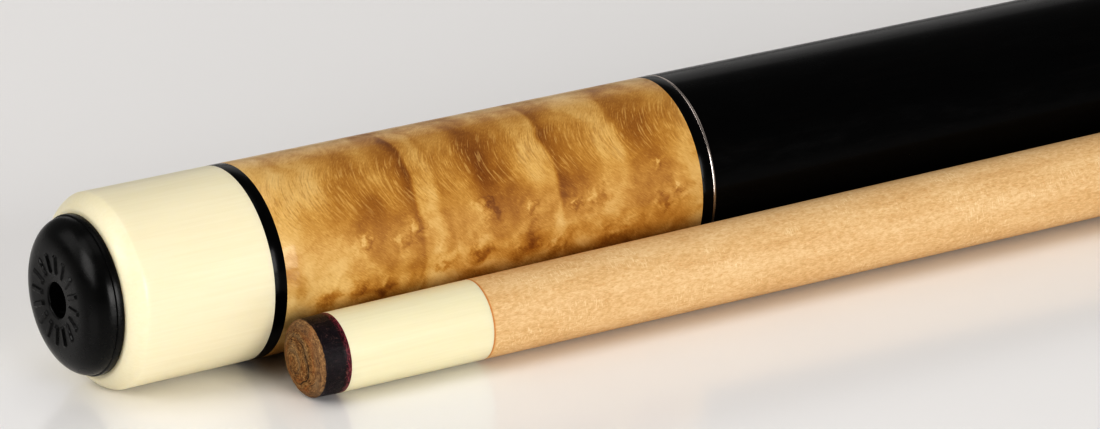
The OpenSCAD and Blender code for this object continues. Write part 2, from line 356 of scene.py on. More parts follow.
def figured_maple(name, quarter, curls, eyes, loose_from):
    """Amber-stained birdseye maple.
    quarter is the angle of the quarter-sawn line, where the flecks are long and stand across the
    grain; away from it they lean and shorten. curls lists (station, lightness) of the curly bands
    from the piece's start, and eyes lists (angle in degrees, station, radius, lean in degrees of the
    painted light and painted shade across the eye, and how much lighter or darker its middle is).
    Beyond the angle loose_from, bands and eyes are scattered at random instead."""
    g = Graph(name)
    away = g.math("SINE", g.math("SUBTRACT", g.angle(), quarter))
    away_mm = g.times(g.math("ABSOLUTE", away), FIGURE_R)
    wander = g.noise(g.point, 14.0, 1.0, 0.5, colour=True)
    wander = g.stretch(g.shift(wander, (-0.5, -0.5, -0.5)), (4.0, 4.0, 5.0))
    bent = g.shift(g.point, wander)
    lean = g.vector(0.0, 0.0, g.times(g.times(away, away), -18.0))
    fleck_point = g.shift(g.mix(0.35, g.point, bent), lean)
    long_flecks = g.noise(g.stretch(fleck_point, (0.12, 0.12, 1.0)), 0.32, 1.5, 0.5)
    short_flecks = g.noise(g.stretch(fleck_point, (0.34, 0.34, 1.0)), 0.19, 2.0, 0.6)
    in_rows = g.band(away_mm, 6.8, 2.4)

    # the curly bands
    loose = g.band(g.math("COSINE", g.math("SUBTRACT", g.angle(), math.radians(loose_from))), 0.30, -0.10)
    low, high = curls[0][0], curls[-1][0]
    ripple = g.plus(g.s, g.times(g.math("SUBTRACT", g.noise(g.point, 9.0, 2.0), 0.5), 3.4))
    at = g.math("DIVIDE", g.math("SUBTRACT", ripple, low), high - low)
    drawn = g.ramp(at, [((v - low) / (high - low), (k, k, k)) for v, k in curls], "EASE")
    random_curl = g.band(g.noise(g.stretch(bent, (0.22, 0.22, 1.0)), 7.0, 1.0, 0.5, 0.4), 0.30, 0.70)
    curl = g.mix(loose, drawn, random_curl)
    cloud = g.noise(g.stretch(bent, (0.8, 0.8, 1.0)), 9.0, 2.0, 0.55)
    soft = g.noise(g.stretch(bent, (1.0, 1.0, 1.0)), 3.0, 2.0, 0.55, 0.6)
    steady = g.band(away_mm, 13.0, 5.0, 0.35, 1.0)
    tone = g.plus(g.times(g.times(g.math("SUBTRACT", curl, 0.5), steady), 0.62),
                  g.times(g.math("SUBTRACT", cloud, 0.5), 0.85))
    tone = g.plus(tone, g.times(g.math("SUBTRACT", soft, 0.5), g.band(away_mm, 3.0, 12.0, 0.15, 0.55)))

    # the eyes, each a low bump with painted light on one flank and painted shade on the other, inside a
    # darker rim
    flat = g.vector(g.times(g.angle(), FIGURE_R), g.s, 0.0)
    knotty = g.noise(g.point, 1.5, 2.0, 0.6, colour=True)
    knotty = g.stretch(g.shift(knotty, (-0.5, -0.5, -0.5)), (4.0, 4.6, 0.0))
    flat = g.shift(flat, knotty)

    # Painted light and shade: one flank of each eye is painted lighter and the other darker, as if lit from
    # one way
    def eye_tone_with_painted_light(q, painted_light_side, glow):
        hill = g.math("EXPONENT", g.times(q, -1.0))
        rim = g.math("EXPONENT", g.times(g.math("ABSOLUTE", g.math("SUBTRACT", q, 1.3)), -3.2))
        return g.math("SUBTRACT", g.times(g.plus(g.times(painted_light_side, 0.46), glow), hill), g.times(rim, 0.10))

    for degrees, station, size, painted_light_lean, glow in eyes:
        centre = (math.radians(degrees) * FIGURE_R, station, 0.0)
        off = g.shift(flat, tuple(-c for c in centre))
        off = g.stretch(off, (1 / size, 0.85 / size, 0.0))
        # the way the painted light and painted shade fall across this eye
        painted_light_way = (math.sin(math.radians(painted_light_lean)), -math.cos(math.radians(painted_light_lean)), 0.0)
        tone = g.plus(tone, eye_tone_with_painted_light(g.dot(off, off), g.dot(off, painted_light_way), glow))
    scattered = g.stretch(bent, (1.0, 1.0, 1.0))
    middle = g.cells(scattered, 8.0, output="Position")
    away_from = g.add("ShaderNodeVectorMath", operation="SUBTRACT")
    g.feed(g.stretch(scattered, (1 / 8, 1 / 8, 1 / 8)), away_from.inputs[0])
    g.feed(middle, away_from.inputs[1])
    off = g.stretch(away_from.outputs[0], (4.6, 4.6, 4.6))
    lot = g.band(g.cells(scattered, 8.0, output="Color"), 0.44, 0.46)
    patchy = g.band(g.noise(g.point, 22.0, 1.0), 0.46, 0.56)
    amount = g.times(g.times(lot, patchy), loose)
    # the scattered eyes get the same painted light and painted shade on their flanks, lit from one fixed way
    tone = g.plus(tone, g.times(eye_tone_with_painted_light(g.dot(off, off), g.dot(off, (0.4, 0.3, -0.8)), 0.1), amount))

    tone = g.plus(tone, g.plus(0.5, g.times(g.math("SUBTRACT", short_flecks, 0.5), 0.30)))
    tone = g.plus(tone, g.band(away_mm, 12.5, 5.0, 0.06, -0.07))
    colour = g.ramp(tone, [(0.06, (0.19, 0.062, 0.007)), (0.26, (0.32, 0.130, 0.016)),
                           (0.46, (0.47, 0.235, 0.042)), (0.64, (0.62, 0.365, 0.105)),
                           (0.90, (0.80, 0.58, 0.265))])
    flecks = g.plus(g.times(g.band(long_flecks, 0.54, 0.66), g.times(in_rows, 0.30)),
                    g.times(g.band(short_flecks, 0.54, 0.76), 0.13))
    colour = g.mix(flecks, colour, (0.84, 0.57, 0.215))
    gaps = g.plus(g.times(g.band(long_flecks, 0.48, 0.36), g.times(in_rows, 0.32)),
                  g.times(g.band(short_flecks, 0.46, 0.26), 0.13))
    colour = g.mix(gaps, colour, (0.30, 0.120, 0.015))
    rough = g.band(tone, 0.3, 0.7, 0.46, 0.34)
    return g.set(colour=colour, rough=rough, normal=g.bump(g.plus(flecks, tone), 0.006),
                 specular=0.3, coat=0.30, coat_rough=0.07, coat_normal=clear_coat_waviness(g, 0.003))


# Curly bands of the sleeve: millimetres from its rear end, and how light the wood is there
SLEEVE_CURLS = [(0, 0.85), (9, 0.78), (13, 0.52), (18, 0.36), (21, 0.48), (23.5, 0.36), (25.5, 0.05),
                (26.4, 0.74), (29, 0.95), (31, 0.52), (35, 0.48), (38, 0.14), (41, 0.32), (45, 0.52),
                (48, 0.86), (51, 0.90), (52, 0.22), (54, 0.34), (58, 0.58), (61, 0.86), (64, 0.78),
                (66, 0.40), (71, 0.40), (77.6, 0.52)]
# Eyes of the sleeve: degrees from its top, millimetres from its rear end, radius, lean of the painted light
# and shade across it, and how much lighter or darker its middle is
SLEEVE_EYES = [(-73, 15, 0.9, 60, 0.12), (-76, 21.5, 1.3, 40, 0.10), (-69, 24.5, 1.0, 20, 0.10),
               (-66, 37, 1.1, 0, 0.04), (-71, 38.4, 1.1, 0, 0.04), (-72, 45.5, 0.9, 30, 0.10),
               (-76, 54, 0.9, 50, 0.12), (-75, 58, 1.2, 20, 0.04), (-63, 70, 0.6, 60, 0.20),
               (-87, 70, 1.1, 0, -0.10), (-79, 73, 0.8, 50, 0.10), (-91, 36, 1.3, 90, -0.18),
               (-95, 29, 1.1, 80, -0.12), (-96, 44, 1.8, 30, -0.20), (-99, 7.5, 1.6, 60, -0.22),
               (-99, 12.5, 1.4, 30, -0.22), (-101, 18, 1.2, 60, -0.15), (-101, 62, 2.2, 90, -0.22),
               (-99, 50, 1.3, 60, -0.08)]


def plain_maple(name, glue_line):
    """Bare hard maple: pale, with fine short fibres, tiny pores, and patches of cross flecks."""
    g = Graph(name)
    fibre = g.noise(g.stretch(g.point, (1, 1, 0.22)), 0.16, 2.0, 0.6)
    mottle = g.noise(g.stretch(g.point, (1, 1, 0.5)), 0.55, 3.0, 0.65, 0.4)
    cloud = g.noise(g.stretch(g.point, (1, 1, 0.30)), 5.0, 3.0, 0.6)
    growth = g.noise(g.vector(g.x, g.times(g.y, 0.35), g.times(g.s, 0.012)), 1.7, 3.0, 0.55, 0.3)
    tone = g.plus(g.plus(g.times(fibre, 0.28), g.times(mottle, 0.36)),
                  g.plus(g.times(cloud, 0.22), g.times(growth, 0.14)))
    colour = g.ramp(tone, [(0.34, (0.54, 0.32, 0.135)), (0.44, (0.65, 0.42, 0.200)),
                           (0.54, (0.74, 0.515, 0.275)), (0.68, (0.83, 0.63, 0.380))])
    across = g.noise(g.stretch(g.point, (0.22, 0.22, 1.0)), 0.22, 1.0, 0.5)
    patch = g.times(g.band(g.noise(g.stretch(g.point, (1, 1, 0.45)), 4.5, 1.0), 0.50, 0.62), 0.50)
    colour = g.mix(g.times(g.band(across, 0.56, 0.70), patch), colour, (0.88, 0.70, 0.44))
    pores = g.noise(g.stretch(g.point, (1, 1, 0.22)), 0.15, 2.0, 0.6)
    colour = g.mix(g.band(pores, 0.58, 0.72, 0.0, 0.50), colour, (0.58, 0.26, 0.07))
    seam = g.math("ABSOLUTE", g.math("SUBTRACT", g.s, glue_line + 0.12))
    colour = g.mix(g.band(seam, 0.05, 0.32, 0.75, 0.0), colour, (0.55, 0.20, 0.035))
    rough = g.band(tone, 0.3, 0.7, 0.56, 0.44)
    height = g.plus(g.times(mottle, 0.5), g.times(pores, -0.5))
    return g.set(colour=colour, rough=rough, normal=g.bump(height, 0.010), specular=0.28)


def rubber(name):
    g = Graph(name)
    grain = g.noise(g.point, 0.28, 3.0, 0.6)
    dust = g.band(g.cells(g.point, 1.9), 0.0, 0.10, 1.0, 0.0)
    cloud = g.noise(g.point, 3.5, 3.0, 0.6)
    colour = g.ramp(cloud, [(0.3, (0.0022, 0.0022, 0.0022)), (0.7, (0.0045, 0.0045, 0.0042))])
    colour = g.mix(g.times(dust, 0.05), colour, (0.06, 0.06, 0.055))
    rough = g.band(cloud, 0.3, 0.7, 0.22, 0.30)
    return g.set(colour=colour, rough=rough, normal=g.bump(grain, 0.005), specular=0.24)


# Length of the tip's burnished side
TIP_SIDE = 3.5
# A lifted layer of the tip has opened a crack at this radius, part of the way round, and the crack is also
# painted dark as shade
CRACK_R = 3.7
CRACK_SIDE = math.radians(-100)


def leather(name, top):
    """Layered leather tip: rings of pressed fibres on its dome, and from the station top a burnished side."""
    g = Graph(name)
    out_mm = g.math("SQRT", g.plus(g.times(g.x, g.x), g.times(g.y, g.y)))
    wobble = g.times(g.math("SUBTRACT", g.noise(g.point, 3.0, 2.0), 0.5), 1.1)
    layer = g.plus(out_mm, wobble)
    round_point = g.vector(layer, g.times(g.x, 0.22), g.times(g.y, 0.22))
    fibre = g.noise(round_point, 0.15, 3.0, 0.7)
    bands = g.noise(g.vector(layer, g.times(g.x, 0.06), g.times(g.y, 0.06)), 0.75, 1.0, 0.5)
    grain = g.noise(g.point, 0.10, 2.0, 0.7)
    clumps = g.noise(g.point, 1.1, 3.0, 0.6)
    tone = g.plus(g.plus(g.times(fibre, 0.40), g.times(grain, 0.36)),
                  g.plus(g.times(bands, 0.12), g.times(clumps, 0.12)))
    colour = g.ramp(tone, [(0.39, (0.020, 0.008, 0.004)), (0.46, (0.110, 0.048, 0.016)),
                           (0.53, (0.27, 0.135, 0.045)), (0.62, (0.54, 0.36, 0.165))])
    tint = g.noise(round_point, 1.3, 2.0)
    colour = g.mix(g.band(tint, 0.50, 0.70, 0.0, 0.22), colour, (0.30, 0.27, 0.18))
    colour = g.mix(g.band(tint, 0.48, 0.32, 0.0, 0.36), colour, (0.45, 0.16, 0.04))
    outer = g.band(out_mm, 4.3, 5.6)
    colour = g.mix(g.times(outer, 0.22), colour, (0.34, 0.23, 0.15))
    # painted shade: the crack's groove is painted near-black, part of the way round
    crack_shade = g.band(g.math("ABSOLUTE", g.math("SUBTRACT", layer, CRACK_R)), 0.16, 0.04)
    side = g.band(g.math("COSINE", g.math("SUBTRACT", g.angle(), CRACK_SIDE)), -0.1, 0.5)
    colour = g.mix(g.times(g.times(crack_shade, side), 0.9), colour, (0.018, 0.010, 0.006))
    dark = g.ramp(g.noise(g.point, 0.9, 3.0, 0.65),
                  [(0.35, (0.0025, 0.0012, 0.0020)), (0.65, (0.012, 0.005, 0.009))])
    dark = g.mix(scratches(g, 0.55), dark, (0.16, 0.085, 0.075))
    ragged = g.plus(g.s, g.times(g.noise(g.point, 0.6, 2.0), 0.35))
    burnt = g.band(ragged, top + 0.10, top + 0.28)
    colour = g.mix(burnt, colour, dark)
    rough = g.band(burnt, 0.0, 1.0, 0.92, 0.38)
    height = g.plus(g.times(fibre, 0.9), g.plus(g.times(grain, 0.6), g.times(clumps, 0.5)))
    return g.set(colour=colour, rough=rough, normal=g.bump(height, 0.09), specular=0.25)


def scratches(g, amount):
    """Mask of short thin scratches that run every way."""
    bent = g.shift(g.point, g.stretch(g.noise(g.point, 3.0, 1.0, 0.5, colour=True), (3.0, 3.0, 3.0)))
    one_way = g.noise(g.stretch(bent, (0.18, 0.18, 1.0)), 0.17, 1.0, 0.5)
    other_way = g.noise(g.stretch(bent, (1.0, 1.0, 0.18)), 0.17, 1.0, 0.5)
    worn = g.band(g.noise(g.point, 1.8, 1.0), 0.42, 0.66, 0.15, 1.0)
    lines = g.math("MAXIMUM", g.band(one_way, 0.60, 0.72), g.band(other_way, 0.60, 0.72))
    return g.times(g.times(lines, worn), amount)


def red_fibre(name, back):
    """Vulcanised fibre, its red clear at the station back and blackened towards the leather."""
    g = Graph(name)
    layers = g.noise(g.stretch(g.point, (0.6, 0.6, 1.6)), 0.34, 3.0, 0.7)
    worn = g.plus(layers, g.band(g.s, back - 1.3, back, -0.10, 0.12))
    colour = g.ramp(worn, [(0.42, (0.004, 0.0012, 0.0025)), (0.52, (0.035, 0.004, 0.010)),
                           (0.62, (0.13, 0.010, 0.026)), (0.76, (0.30, 0.08, 0.09))])
    colour = g.mix(scratches(g, 0.5), colour, (0.36, 0.16, 0.13))
    return g.set(colour=colour, rough=0.42, normal=g.bump(layers, 0.02), specular=0.25)


def turned_metal(name, base, deep, rough_low, rough_high, ring=0.10):
    """Metal turned on a lathe: very fine rings round the axis over faint smudges."""
    g = Graph(name)
    rings = g.noise(g.vector(0.0, 0.0, g.s), ring, 3.0, 0.7)
    out_mm = g.math("SQRT", g.plus(g.times(g.x, g.x), g.times(g.y, g.y)))
    faces = g.noise(g.vector(out_mm, 0.0, 0.0), ring, 3.0, 0.7)
    smudge = g.noise(g.point, 2.5, 3.0, 0.6)
    colour = g.mix(g.band(smudge, 0.3, 0.7), base, deep)
    rough = g.band(g.plus(g.times(smudge, 0.6), g.times(rings, 0.4)), 0.35, 0.65, rough_low, rough_high)
    return g.set(colour=colour, metal=1.0, rough=rough, normal=g.bump(g.plus(rings, faces), 0.004))


# ---------------------------------------------------------------- camera, floor and lights

CAMERA_YAW = 0.5325
CAMERA_PITCH = 0.3580
CAMERA_ROLL = -0.0198
CAMERA_LENS = 383.2
CAMERA_FROM_RING = Vector((-0.8408, -1.5287, 0.6755))


def make_camera():
    """Aims from a point given from the table under the cap's front edge."""
    foot = BUTT.point + BUTT.axis * BUTT.reach("butt_cap")[1]
    foot.z = 0
    forward = Vector((math.cos(CAMERA_PITCH) * math.sin(CAMERA_YAW),
                      math.cos(CAMERA_PITCH) * math.cos(CAMERA_YAW), -math.sin(CAMERA_PITCH)))
    right = forward.cross(Vector((0, 0, 1))).normalized()
    up = right.cross(forward)
    right, up = (right * math.cos(CAMERA_ROLL) + up * math.sin(CAMERA_ROLL),
                 up * math.cos(CAMERA_ROLL) - right * math.sin(CAMERA_ROLL))
    camera = bpy.data.objects.new("camera", bpy.data.cameras.new("camera"))
    bpy.context.collection.objects.link(camera)
    camera.data.lens = CAMERA_LENS
    camera.data.sensor_width = 36
    camera.data.clip_start, camera.data.clip_end = 0.1, 60
    camera.matrix_world = Matrix.Translation(foot + CAMERA_FROM_RING) @ Matrix(
        (right, up, -forward)).transposed().to_4x4()
    bpy.context.scene.camera = camera


def make_floor():
    mesh = bpy.data.meshes.new("floor")
    half = 9.0
    corners = [(-half, -half, 0), (half, -half, 0), (half, half, 0), (-half, half, 0)]
    mesh.from_pydata(corners, [], [(0, 1, 2, 3)])
    floor = bpy.data.objects.new("floor", mesh)
    bpy.context.collection.objects.link(floor)
    g = Graph("floor_gloss_white")
    haze = g.noise(g.point, 60.0, 2.0)
    colour = g.mix(haze, (0.955, 0.945, 0.94), (0.97, 0.96, 0.955))
    mesh.materials.append(g.set(colour=colour, rough=0.16, specular=0.5))
    floor.location.z = -0.0002


def make_light(name, place, target, size, power, colour=(1, 1, 1)):
    lamp = bpy.data.lights.new(name, "AREA")
    lamp.shape = "RECTANGLE"
    lamp.size, lamp.size_y = size
    lamp.energy = power
    lamp.color = colour
    light = bpy.data.objects.new(name, lamp)
    bpy.context.collection.objects.link(light)
    light.location = place
    light.rotation_mode = "QUATERNION"
    light.rotation_quaternion = (Vector(target) - Vector(place)).to_track_quat("-Z", "Y")
    light.visible_camera = False


# Soft boxes: degrees round from +X, degrees up, metres away, size in metres, watts
SOFT_BOXES = {"key": (183, 30, 1.6, (0.8, 0.8), 7.2), "key_high": (170, 56, 1.6, (0.8, 0.8), 2.3),
              "key_back": (140, 30, 1.6, (0.8, 0.8), 2.1), "front": (272, 14, 1.6, (1.0, 0.7), 13.5),
              "back": (60, 19, 2.2, (1.3, 1.1), 1.6), "top": (0, 89, 1.5, (0.9, 0.9), 1.6),
              "right": (5, 30, 1.7, (0.9, 0.9), 1.4)}


def make_lights():
    look = BUTT.point + BUTT.axis * 0.07
    for name, (round_by, up_by, away, size, power) in SOFT_BOXES.items():
        turn, rise = math.radians(round_by), math.radians(up_by)
        way = Vector((math.cos(turn) * math.cos(rise), math.sin(turn) * math.cos(rise), math.sin(rise)))
        make_light(name, look + way * away, look, size, power, (1.0, 0.985, 0.97))
    world = bpy.data.worlds.new("studio")
    world.use_nodes = True
    world.node_tree.nodes["Background"].inputs["Color"].default_value = (1.0, 0.985, 0.97, 1)
    world.node_tree.nodes["Background"].inputs["Strength"].default_value = 0.165
    bpy.context.scene.world = world
    bpy.context.scene.view_settings.view_transform = "Standard"
    bpy.context.scene.view_settings.look = "High Contrast"


# ---------------------------------------------------------------- butt half


# Radii of the bores, in millimetres: over the handle's two tenons, the forearm's front tenon and the
# shaft's rear tenon, and round the stud, the joint pin and the brass insert
TENON_BORE = 10.05
HANDLE_FRONT_BORE = 7.55
FOREARM_FRONT_BORE = 8.05
SHAFT_COLLAR_BORE = 8.25
STUD_BORE = 4.05
PIN_BORE = 4.75
INSERT_BORE = 6.2
# Gap between touching pieces, and the station of the bumper's seat on the cap
CLEARANCE = 0.05
SEAT = -CLEARANCE


def butt_section(name, start_r, end_r, span, bore, ease=0.03, longest=4.0):
    """A ring or sleeve of the butt: the outside follows the taper, with hair-thin eased edges."""
    a, b = span
    points = [(bore, a), (start_r, a), (end_r, b), (bore, b)]
    return lathe(name, BUTT, refined(eased(points, (0, ease, ease, 0), 2), longest, True))


def taper(node):
    """Outside radii of a butt node at its two ends."""
    a, b = BUTT.span(node)
    return BUTT.radius(node, a), BUTT.radius(node, b), (a, b)


def raised_marks(r, angle):
    """Height, 0 to 1, of a ring of plain moulded bars round the bumper's driver hole."""
    count = 16
    cell = angle * count / TURN
    offset = abs(cell - round(cell)) * TURN / count * r
    inner, outer = 4.3, 7.6
    across = 1 - min(1.0, max(0.0, (offset - 0.30) / 0.22))
    along = min(1.0, max(0.0, (r - inner) / 0.25)) * min(1.0, max(0.0, (outer - r) / 0.25))
    return across * across * (3 - 2 * across) * along


def make_bumper(rubber_black):
    low, high = BUTT.span("bumper")
    flange_r, stem_r = BUTT.radius("bumper", SEAT), BUTT.radius("bumper", high)
    hole_r, face_r, pocket_r, shank_r = 2.85, 7.5, 4.6, 2.6
    pocket_start, pocket_end = -2.3, 1.2
    flange, crease, bow, hollow = 1.25, 0.25, 1.9, 0.22
    lip = 0.35

    def dome(t):
        turn = t * math.pi / 2
        return (face_r + (flange_r - crease - face_r) * max(0.0, math.cos(turn)) ** (2 / bow),
                -flange + (low + flange) * math.sin(turn) ** (2 / bow))

    steps = 30
    rim_r = hole_r + lip
    inwards = [i / 26 for i in range(1, 27)]
    face = [(face_r + (rim_r - face_r) * t, low + hollow * t ** 2) for t in inwards]
    mouth = arc((rim_r, low + hollow + lip), lip, 270, 180, 5)[1:]
    outline = ([(stem_r, high - 0.4), (stem_r, SEAT)]
               + [(flange_r - 0.15, SEAT), (flange_r - 0.03, -0.12), (flange_r, -0.3)]
               + [(flange_r, -flange + 0.25), (flange_r - 0.05, -flange + 0.06), (flange_r - 0.22, -flange)]
               + [(flange_r - crease - 0.06, -flange - 0.04)]
               + [dome((i + 0.6) / steps) for i in range(steps)] + face + mouth
               + [(hole_r, pocket_start), (pocket_r, pocket_start), (pocket_r, pocket_end),
                  (shank_r, pocket_end), (shank_r, high), (stem_r - 0.4, high)])

    def shape(r, s, angle):
        if s < low + 0.9 and rim_r + 0.05 < r < face_r + 0.4:
            s -= 0.28 * raised_marks(r, angle)
        return r, s

    piece = lathe("bumper_rubber", BUTT, outline, 480, shape, 40)
    place(piece, rubber_black, "bumper_body", "black_rubber", "bumper")


def make_cap(ivory):
    low, high = BUTT.span("butt_cap")
    front_r = BUTT.radius("butt_cap", high)
    rear_r, bevel_long, bevel_deep, bow = 16.05, 2.8, 2.4, 1.35
    face_r = rear_r - bevel_deep
    edge_r = rear_r - (rear_r - front_r) * bevel_long / (high - low)
    bore, seat_r, seat, floor_s, stem_r = 7.6, 6.5, 6.5, 8.0, TENON_BORE
    bevel = []
    steps = 14
    for i in range(steps + 1):
        turn = math.pi / 2 * i / steps
        bevel.append((face_r + (edge_r - face_r) * math.sin(turn) ** (2 / bow),
                      bevel_long - bevel_long * math.cos(turn) ** (2 / bow)))
    outline = ([(bore, low + 0.2), (bore + 0.2, low), (face_r - 0.25, low)] + bevel
               + [(edge_r, bevel_long + 0.6), (front_r, high), (stem_r, high), (stem_r, floor_s),
                  (seat_r, floor_s), (seat_r, seat), (bore, seat)])
    piece = lathe("cap_shell", BUTT, refined(outline, 3.0, True), 192, None, 50)
    place(piece, ivory, "butt_half", "ivory_plastic", "butt_cap")


def make_butt_rings(black, metal):
    bores = {"cap_ring": TENON_BORE, "sleeve_ring": TENON_BORE, "handle_ring": HANDLE_FRONT_BORE,
             "joint_ring": FOREARM_FRONT_BORE}
    for node, bore in bores.items():
        a, b, span = taper(node)
        piece = butt_section(node + "_band", a, b, span, bore, 0.02)
        place(piece, black, "butt_half", "black_plastic", node)
    bores = {"sleeve_trim_ring": TENON_BORE, "handle_trim_ring": HANDLE_FRONT_BORE,
             "joint_trim_ring": FOREARM_FRONT_BORE}
    for node, bore in bores.items():
        a, b, span = taper(node)
        piece = lathe(node + "_band", BUTT, crowned(a, b, span, bore, 0.02), 192, None, 80)
        place(piece, metal, "butt_half", "trim_metal", node)


def crowned(a, b, span, bore, crown):
    """Outline of a thin metal ring, a little proud in its middle."""
    s0, s1 = span
    edge, shoulder = 0.02, 0.09
    return [(bore, s0), (a - edge, s0), (a + crown * 0.7, s0 + shoulder),
            ((a + b) / 2 + crown, (s0 + s1) / 2), (b + crown * 0.7, s1 - shoulder), (b - edge, s1),
            (bore, s1)]


def make_sleeve(maple):
    a, b, span = taper("butt_sleeve")
    piece = butt_section("sleeve_figured", a, b, span, TENON_BORE, 0.02)
    place(piece, maple, "butt_half", "figured_maple", "butt_sleeve")


def make_handle(black):
    rear, front = BUTT.span("handle")
    body_start = BUTT.span("sleeve_trim_ring")[1]
    body_end = BUTT.span("handle_trim_ring")[0]
    a, b = BUTT.radius("sleeve_trim_ring", body_start), BUTT.radius("handle_trim_ring", body_end)
    bolt_bore, bolt_end = 6.4, BUTT.span("weight_bolt")[1] + CLEARANCE
    rear_tenon, front_tenon = TENON_BORE - CLEARANCE, HANDLE_FRONT_BORE - CLEARANCE
    stud_start = BUTT.span("forearm_stud")[0] - CLEARANCE
    outline = [(0.0, bolt_end), (bolt_bore, bolt_end), (bolt_bore, rear + 0.5), (bolt_bore + 0.5, rear),
               (rear_tenon - 0.5, rear), (rear_tenon, rear + 0.6), (rear_tenon, body_start),
               (a - 0.02, body_start), (a, body_start + 0.03), (b, body_end - 0.03), (b - 0.02, body_end),
               (front_tenon, body_end), (front_tenon, front - 0.6), (front_tenon - 0.5, front),
               (STUD_BORE, front), (STUD_BORE, stud_start), (0.0, stud_start)]
    piece = lathe("handle_body", BUTT, refined(outline, 12.0), 160)
    place(piece, black, "butt_half", "black_lacquer", "handle")


def make_forearm(maple):
    body_start = BUTT.span("handle_ring")[1]
    body_end = BUTT.span("joint_trim_ring")[0]
    a, b = BUTT.radius("handle_ring", body_start), BUTT.radius("joint_trim_ring", body_end)
    tenon_end = BUTT.span("forearm")[1]
    tenon_r = FOREARM_FRONT_BORE - CLEARANCE
    pin_start = BUTT.span("joint_pin")[0] - CLEARANCE
    handle_end = BUTT.span("handle")[1]
    stud_end = BUTT.span("forearm_stud")[1] + CLEARANCE
    outline = [(0.0, stud_end), (STUD_BORE, stud_end), (STUD_BORE, handle_end),
               (HANDLE_FRONT_BORE, handle_end), (HANDLE_FRONT_BORE, body_start), (a, body_start),
               (b, body_end), (tenon_r, body_end),
               (tenon_r, tenon_end - 0.5), (tenon_r - 0.5, tenon_end), (PIN_BORE, tenon_end),
               (PIN_BORE, pin_start), (0.0, pin_start)]
    piece = lathe("forearm_figured", BUTT, refined(outline, 8.0), 160)
    place(piece, maple, "butt_half", "figured_maple", "forearm")


# The joint's 5/16-14 thread: pitch, in millimetres
THREAD_PITCH = 1.814


def groove_depth(s, angle, pitch):
    """How far into a thread's groove a point lies, 0 on the crest and 1 at the root."""
    phase = (s / pitch + angle / TURN) % 1.0
    return min(1.0, max(0.0, 1.25 - abs(phase - 0.5) * 3.4))


def make_collar_and_pin(steel):
    """The collar has two hair-thin decorative grooves near its ends, and the pin a real thread."""
    low, high = BUTT.span("joint_collar")
    a, b = BUTT.radius("joint_collar", low), BUTT.radius("joint_collar", high)
    tenon_end = BUTT.span("forearm")[1]
    start, end = BUTT.span("joint_pin")
    floor_s, pocket_r, shank = start + 38, 6.18, 4.7
    grooves = []
    half_wide, deep = 0.16, 0.09
    for middle in (low + 1.6, high - 3.2):
        for k in range(-4, 5):
            at = middle + half_wide * k / 4
            grooves.append((a + (b - a) * (at - low) / (high - low) - deep * (1 - (k / 4) ** 2), at))
    outline = eased([(FOREARM_FRONT_BORE, low), (a, low)] + grooves
                    + [(b, high), (pocket_r, high), (pocket_r, floor_s), (PIN_BORE, floor_s),
                       (PIN_BORE, tenon_end), (FOREARM_FRONT_BORE, tenon_end)],
                    (0, 0.03) + (0,) * len(grooves) + (0.35, 0.3, 0, 0.2, 0, 0), 5)
    piece = lathe("joint_collar_steel", BUTT, refined(outline, 3.0, True), 160, None, 40)
    place(piece, steel, "butt_half", "joint_steel", "joint_collar")
    major, depth = 3.97, 0.62
    stud = refined([(major, floor_s + 0.2), (major, end - 0.9), (major - 0.85, end)], 0.14)
    outline = ([(0.0, start), (shank - 0.4, start), (shank, start + 0.4), (shank, floor_s - 0.3),
                (shank - 0.3, floor_s), (major - 0.5, floor_s)] + stud + [(0.0, end)])

    def thread(r, s, angle):
        if r > 2.5 and s > floor_s:
            fade = min(1.0, max(0.0, (s - floor_s - 0.6) / 1.2))
            r = min(r, major - depth * groove_depth(s, angle, THREAD_PITCH) * fade)
        return r, s

    piece = lathe("joint_pin_threaded", BUTT, outline, 96, thread, 60)
    place(piece, steel, "butt_half", "joint_steel", "joint_pin")


# ---------------------------------------------------------------- shaft half


def make_tip(hide):
    low, high = SHAFT.span("tip")
    side_end = high - TIP_SIDE
    pad_r, edge_r = SHAFT.radius("tip", high), SHAFT.radius("tip", side_end)
    steps, bow = 44, 1.6
    dome = []
    for i in range(steps + 1):
        turn = math.pi / 2 * i / steps
        dome.append((edge_r * math.cos(turn) ** (2 / bow),
                     side_end + (low - side_end) * math.sin(turn) ** (2 / bow)))
    side = [(pad_r + (edge_r - pad_r) * i / 14, high + (side_end - high) * i / 14) for i in range(14)]
    outline = [(0.0, high)] + [(pad_r * i / 4, high) for i in range(1, 4)] + side + dome[:-1] + [(0.0, low)]

    def shape(r, s, angle):
        point = Vector((r * math.sin(angle), r * math.cos(angle), s))
        if r > 0.3 and s < side_end + 0.02:
            push = 0.05 * noise.fractal(point * 1.6, 1.0, 2.0, 4)
            push += 0.03 * noise.fractal(point * 5.5, 0.9, 2.0, 3)
            lip = CRACK_R + 0.18 * math.sin(2 * angle + 0.6)
            open_part = max(0.0, math.cos(angle - CRACK_SIDE)) ** 0.5
            gap = max(0.0, 1 - ((r - lip) / 0.15) ** 2)
            ledge = max(0.0, 1 - (r - lip) / 1.3) if r > lip else 0.0
            push += (0.10 * ledge - 0.24 * gap) * open_part
            s -= push * 0.8
            r += push * 0.4 * r / edge_r
        elif r > edge_r - 0.3:
            r -= 0.02 + 0.02 * noise.fractal(point * 2.0, 1.0, 2.0, 3)
        return r, s

    piece = lathe("tip_leather", SHAFT, outline, 260, shape, 55)
    place(piece, hide, "shaft_half", "tip_leather", "tip")


